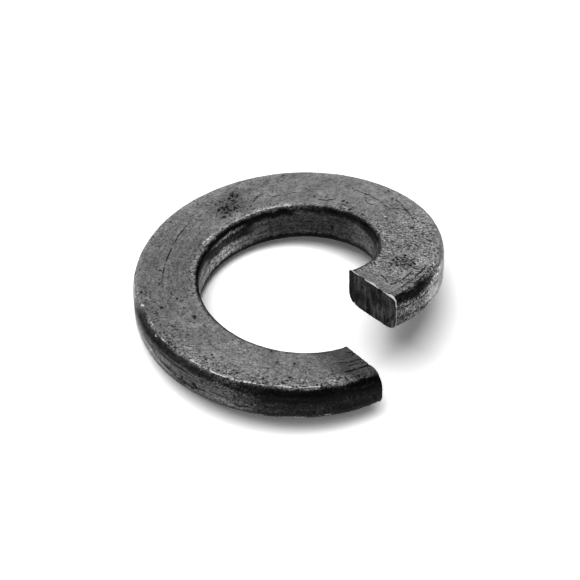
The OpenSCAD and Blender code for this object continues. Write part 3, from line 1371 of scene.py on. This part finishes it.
    def scattered_marks(self) -> tuple[Mark, ...]:
        """Scatter small pits and short cracks over the whole wire, the same in each run.

        Returns:
            The sets of pits, the short cracks and the patches of fine pits.
        """
        dice = np.random.default_rng(self.seed)
        short = self.short_cracks
        marks = []
        for count, width, depth in self.pit_sets:
            arcs = dice.uniform(1, self.sizes.coil_arc - 1, count)
            ways = dice.uniform(self.way.min(), self.way.max(), count)
            marks.append(pits(width, depth, *zip(arcs.tolist(), ways.tolist())))
        for _ in range(short.count):
            arc = dice.uniform(2, self.sizes.coil_arc - 2)
            way = dice.uniform(self.way.min(), self.way.max())
            turn = dice.normal(0, short.first_turn)
            path = [(arc, way)]
            for _ in range(int(dice.integers(*short.steps))):
                turn += dice.normal(0, short.next_turn)
                step = dice.uniform(*short.step)
                arc += math.degrees(step * math.cos(turn) / self.sizes.mid_r)
                way += step * math.sin(turn)
                path.append((arc, way))
            marks.append(crack(float(dice.uniform(*short.width)), short.depth, *path))
        for patch in self.pit_patches:
            arcs = dice.normal(patch.spot[0], patch.spread[0], patch.count)
            ways = dice.normal(patch.spot[1], patch.spread[1], patch.count)
            marks.append(pits(*self.patch_pit, *zip(arcs.tolist(), ways.tolist())))
        return tuple(marks)

    def draw_marks(self) -> None:
        """Work out how far each vertex is pitted, carved and rubbed bare."""
        borders = self.borders
        dice = np.random.default_rng(self.seed + 1)
        ragged = dice.normal(0, borders.ragged, len(self.along))
        self.ragged_way = self.way
        for height, wander in self.zone_wanders:
            self.ragged_way = self.ragged_way + height * wander.at(self.along)
        self.ragged_way = self.ragged_way + self.zone_grit * ragged
        self.pitted = np.zeros_like(self.along)
        self.carved = np.zeros_like(self.along)
        self.rubbed = np.zeros_like(self.along)
        for mark in self.marks + self.scattered_marks():
            for start, end in mark.segments():
                width = mark.width * (float(dice.uniform(*borders.spot_widths)) if mark.spots else 1.0)
                first = np.array((math.radians(start[0]) * self.sizes.mid_r, start[1]))
                last = np.array((math.radians(end[0]) * self.sizes.mid_r, end[1]))
                # No vertex further off than this is touched.
                reach = width * 2 + 0.03
                low = np.minimum(first, last) - reach
                high = np.maximum(first, last) + reach
                near = np.nonzero(
                    (self.along > low[0]) & (self.along < high[0])
                    & (self.way > low[1]) & (self.way < high[1]) & self.on_wire
                )[0]
                gap = np.column_stack((self.along[near], self.way[near])) - first
                run = last - first
                length = float(run @ run)
                part = np.clip(gap @ run / length, 0, 1) if length > 0 else np.zeros(len(near))
                away = np.hypot(*(gap - part[:, None] * run).T)
                level = np.clip(borders.fade - away / width, 0, 1)
                turns = (
                    self.along[near] * borders.break_turns[0] + self.way[near] * borders.break_turns[1]
                )
                broken = borders.line_level + borders.line_breaks * np.sin(turns)
                middle = borders.spot_level if mark.spots else broken
                level = np.clip(level * (middle + ragged[near]), 0, 1)
                if mark.kind is MarkKind.BARE:
                    self.rubbed[near] = np.maximum(self.rubbed[near], level)
                else:
                    self.pitted[near] = np.maximum(self.pitted[near], level)
                    self.carved[near] = np.maximum(self.carved[near], level * mark.depth)

    def level(self, zones: tuple[Zone, ...]) -> np.ndarray:
        """Multiply the levels of all the zones that cover each vertex.

        Args:
            zones: Zones of one property.

        Returns:
            Level at each vertex, 1 where no zone covers it.
        """
        level = np.ones_like(self.along)
        for zone in zones:
            level = level * (1 + (zone.level - 1) * zone.cover(self.arc, self.ragged_way))
        return level

    def burr_up(self) -> None:
        """Work out the burr at the upper rim of each cut, and rub its crest bright."""
        sizes, burr = self.sizes, self.burr_sizes
        wave = 0.5 + 0.5 * np.sin(self.across * burr.turn + burr.start)
        wave = wave * np.clip((self.across - burr.grows_from) / burr.grows_over, burr.least, 1)
        half_w = sizes.width / 2
        at_high = self.arc < SAME_RING
        rim = self.on_wire & (np.abs(self.way) < half_w - burr.inset)
        high_rim = rim & at_high
        low_rim = rim & (self.arc > sizes.coil_arc - SAME_RING)
        high_out = burr.high_out[0] + burr.high_out[1] * wave
        self.burr = np.where(low_rim, burr.low_out, 0.0) - np.where(high_rim, high_out, 0.0)
        self.burr_lip = np.where(high_rim & (self.across < burr.lip_end), burr.lip * wave, 0.0)
        crest = self.on_wire & (self.arc < burr.crest_arc[0] + burr.crest_arc[1] * wave)
        crest = crest & (np.abs(self.way) < half_w)
        strip = ~self.on_wire & at_high & (self.up > sizes.thickness / 2 - burr.face_strip)
        corner = at_high & (self.across > half_w - burr.corner_strip)
        corner = corner & (np.abs(self.up) < burr.corner_end)
        toe = at_high & (self.across > burr.toe[0]) & (self.across < burr.toe[1])
        toe = toe & (self.up < burr.toe_top)
        for place, level in (
            (crest, burr.crest_level[0] + burr.crest_level[1] * wave),
            (strip, burr.face_level[0] + burr.face_level[1] * wave),
            (corner, burr.corner_level),
            (toe, burr.corner_level),
        ):
            self.rubbed = np.maximum(self.rubbed, np.where(place, level, 0.0))

    def carve(self, piece: bpy.types.Object) -> None:
        """Carve the pits, cracks and cut lines, roughen the rolled skin and turn up the burr.

        Args:
            piece: Sprung washer, in millimetres.
        """
        lines = 0.5 + 0.5 * self.cut_lines.at(self.across)
        line_depth = self.line_depth[1] * lines + self.line_depth[0]
        grooves = np.where(self.on_wire, self.carved, line_depth)
        self.add_group(piece, "carved", grooves / grooves.max())
        apply_modifier(
            piece, "DISPLACE", direction="NORMAL", strength=-float(grooves.max()), mid_level=0.0,
            vertex_group="carved",
        )
        # A middle level over 1 only carves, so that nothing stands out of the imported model's box.
        for name, scale, depth in self.skin:
            texture = bpy.data.textures.new(name, "CLOUDS")
            texture.noise_scale = scale
            texture.noise_depth = 2
            apply_modifier(
                piece, "DISPLACE", direction="NORMAL", strength=depth, mid_level=1.2,
                texture=texture, texture_coords="LOCAL",
            )
        self.push(piece, "burr", self.burr, "Y")
        self.push(piece, "burr_lip", self.burr_lip, "Z")

    def spring_open(self, piece: bpy.types.Object) -> None:
        """Raise the flat coil into its left-handed helix with its two sprung ends.

        Args:
            piece: Flat coil.
        """
        sizes = self.sizes
        outward = np.zeros_like(self.arc)
        upward = np.zeros_like(self.arc)
        for corner in self.corners:
            moves = corner.shrink(sizes, self.arc, self.across, self.up)
            outward += moves[0]
            upward += moves[1]
        # Cast moves a vertex towards the middle of the wire by its weight's share of the way there.
        share = np.where(np.abs(outward) > STILL_MM, -outward / (self.across + TINY), 0.0)
        self.add_group(piece, "worn_walls", share)
        apply_modifier(
            piece, "CAST", cast_type="CYLINDER", use_z=False, use_radius_as_size=False,
            size=sizes.mid_r, factor=1.0, vertex_group="worn_walls",
        )
        rise = sizes.height(self.arc) + (self.across + outward) * sizes.slope(self.arc) + upward
        self.push(piece, "helix", rise, "Z")
        piece.rotation_euler = (0, 0, math.radians(sizes.gap_arc))
        make_active(piece)
        bpy.ops.object.transform_apply(location=False, rotation=True, scale=False)
        turn = self.across * np.sin(sizes.skew(self.arc))
        self.push(piece, "cut_skew", turn, "Y")

    def lay_down(self, piece: bpy.types.Object) -> None:
        """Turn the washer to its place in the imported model, at rest, and to metres.

        Args:
            piece: Sprung washer in millimetres, its low cut at bearing 0.
        """
        sizes = self.sizes
        low_bearing = math.radians(sizes.gap_angle - sizes.gap_arc / 2)
        lean = Vector((0, 0, 1)).rotation_difference(Vector(sizes.rest_axis)).to_matrix().to_4x4()
        drop = Matrix.Translation((0, 0, -sizes.rest_drop))
        turn = Matrix.Rotation(low_bearing, 4, "Z")
        piece.matrix_world = Matrix.Scale(METRES_PER_MM, 4) @ lean @ drop @ turn
        make_active(piece)
        bpy.ops.object.transform_apply(location=True, rotation=True, scale=True)

    def build(self) -> bpy.types.Object:
        """Build and dress the washer.

        Returns:
            The finished piece.
        """
        piece = self.draw_section()
        self.coil_section(piece)
        self.survey(piece)
        self.unwrap(piece)
        self.draw_marks()
        self.burr_up()
        self.spring_open(piece)
        self.carve(piece)
        self.lay_down(piece)
        # Mostly painted light and shade, with some darker and paler stretches of scale.
        self.add_attribute(piece, "light_shade_and_tint", self.level(self.lights_shades_and_tints))
        self.add_attribute(piece, "grainy", self.level(self.grains))
        self.add_attribute(piece, "streaky", self.level(self.streaks))
        self.add_attribute(piece, "pitted", self.pitted)
        self.add_attribute(piece, "rubbed", self.rubbed)
        make_active(piece)
        bpy.ops.object.shade_smooth_by_angle(angle=math.radians(self.mesh.smooth_angle))
        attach(piece, "root")
        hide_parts("spring_washer")
        return piece


@dataclass(frozen=True)
class Softbox:
    """A square area light that faces the washer.

    Attributes:
        name: Name of the light.
        azimuth: Bearing of the light, in degrees counter-clockwise from +X.
        elevation: Its height over the floor, in degrees.
        distance: Its distance, in metres.
        size: Side of its square face, in metres.
        level: Radiance of its face, where 1 is the white of the picture.
    """

    name: str
    azimuth: float
    elevation: float
    distance: float
    size: float
    level: float

    def add(self) -> None:
        """Add the light to the scene."""
        data = bpy.data.lights.new(self.name, "AREA")
        data.size = self.size
        data.energy = self.level * math.pi * self.size * self.size
        light = bpy.data.objects.new(self.name, data)
        bpy.context.collection.objects.link(light)
        azimuth = math.radians(self.azimuth)
        elevation = math.radians(self.elevation)
        flat = math.cos(elevation) * self.distance
        place = Vector(
            (flat * math.cos(azimuth), flat * math.sin(azimuth), self.distance * math.sin(elevation))
        )
        light.location = place
        light.rotation_euler = (-place).to_track_quat("-Z", "Y").to_euler()


@dataclass
class Studio:
    """Plain pale floor, soft light and the camera at the photograph's viewing angle.

    Attributes:
        floor_size: Side of the floor, in metres.
        floor_colour: Colour that the floor throws onto the washer.
        floor_white: Colour of the floor as the camera sees it, high enough that the lit floor comes out
            white round the washer's soft shadow.
        world_level: Level of the room's even light.
        softboxes: The main light over the washer, and a weak one in front that fills its walls.
        camera_place: Place of the camera, in millimetres.
        camera_target: Point that it looks at, in millimetres.
        camera_roll: Its roll about its own axis, in degrees.
        camera_lens: Its focal length on a sensor 36 mm wide, in millimetres.
    """

    floor_size: float = 4.0
    floor_colour: str = "a0a0a0"
    floor_white: float = 1.64
    world_level: float = 0.11
    softboxes: tuple[Softbox, ...] = (
        Softbox("overhead_softbox", -125, 74.5, 0.6, 0.38, 6.6),
        Softbox("front_softbox", -90, 28, 0.6, 0.3, 1.1),
    )
    camera_place: tuple[float, float, float] = (-2.691, -69.974, 85.198)
    camera_target: tuple[float, float, float] = (0.013, 0.120, 2.0)
    camera_roll: float = 1.713
    camera_lens: float = 144.83

    def lay_floor(self) -> None:
        """Lay the pale floor."""
        deselect_all()
        bpy.ops.mesh.primitive_plane_add(size=self.floor_size, location=(0, 0, 0))
        floor = bpy.context.object
        floor.name = "studio_floor"
        material = new_material("pale_floor_paper")
        tree = material.node_tree
        path = add_node(tree, "ShaderNodeLightPath")
        seen = path.outputs["Is Camera Ray"]
        for ray in ("Is Glossy Ray", "Is Transmission Ray"):
            seen = add_node(
                tree, "ShaderNodeMath", {"operation": "MAXIMUM"}, {0: seen, 1: path.outputs[ray]}
            ).outputs[0]
        white = self.floor_white
        colour = add_node(
            tree, "ShaderNodeMix", {"data_type": "RGBA"},
            {0: seen, 6: linear(self.floor_colour), 7: (white, white, white, 1.0)},
        ).outputs[2]
        paper = add_node(tree, "ShaderNodeBsdfDiffuse", None, {"Color": colour})
        add_node(tree, "ShaderNodeOutputMaterial", None, {"Surface": paper.outputs[0]})
        floor.data.materials.append(material)

    def light(self) -> None:
        """Set the soft overhead light, the weak fill and the room's even light."""
        for softbox in self.softboxes:
            softbox.add()
        world = bpy.data.worlds.new("studio_room")
        world.use_nodes = True
        tree = world.node_tree
        tree.nodes.clear()
        room = add_node(
            tree, "ShaderNodeBackground", None,
            {"Color": (1.0, 1.0, 1.0, 1.0), "Strength": self.world_level},
        )
        add_node(tree, "ShaderNodeOutputWorld", None, {"Surface": room.outputs[0]})
        bpy.context.scene.world = world

    def aim_camera(self) -> None:
        """Place the camera at the photograph's viewing angle."""
        data = bpy.data.cameras.new("photo_camera")
        data.lens = self.camera_lens
        data.sensor_width = 36.0
        data.clip_start = 0.001
        data.clip_end = 20.0
        camera = bpy.data.objects.new("photo_camera", data)
        bpy.context.collection.objects.link(camera)
        place = Vector(self.camera_place) * METRES_PER_MM
        target = Vector(self.camera_target) * METRES_PER_MM
        level = (target - place).to_track_quat("-Z", "Y").to_matrix().to_4x4()
        roll = Matrix.Rotation(math.radians(self.camera_roll), 4, "Z")
        camera.matrix_world = Matrix.Translation(place) @ level @ roll
        bpy.context.scene.camera = camera

    def set_up(self) -> None:
        """Build the whole studio."""
        self.lay_floor()
        self.light()
        self.aim_camera()
        bpy.context.scene.view_settings.view_transform = "Standard"


def main() -> None:
    """Build the washer and the studio, and log the washer's face count."""
    logging.basicConfig(level=logging.INFO)
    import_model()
    Studio().set_up()
    washer = SpringWasher().build()
    LOG.info("%s: %d faces", washer.name, len(washer.data.polygons))


if __name__ == "__main__":
    main()
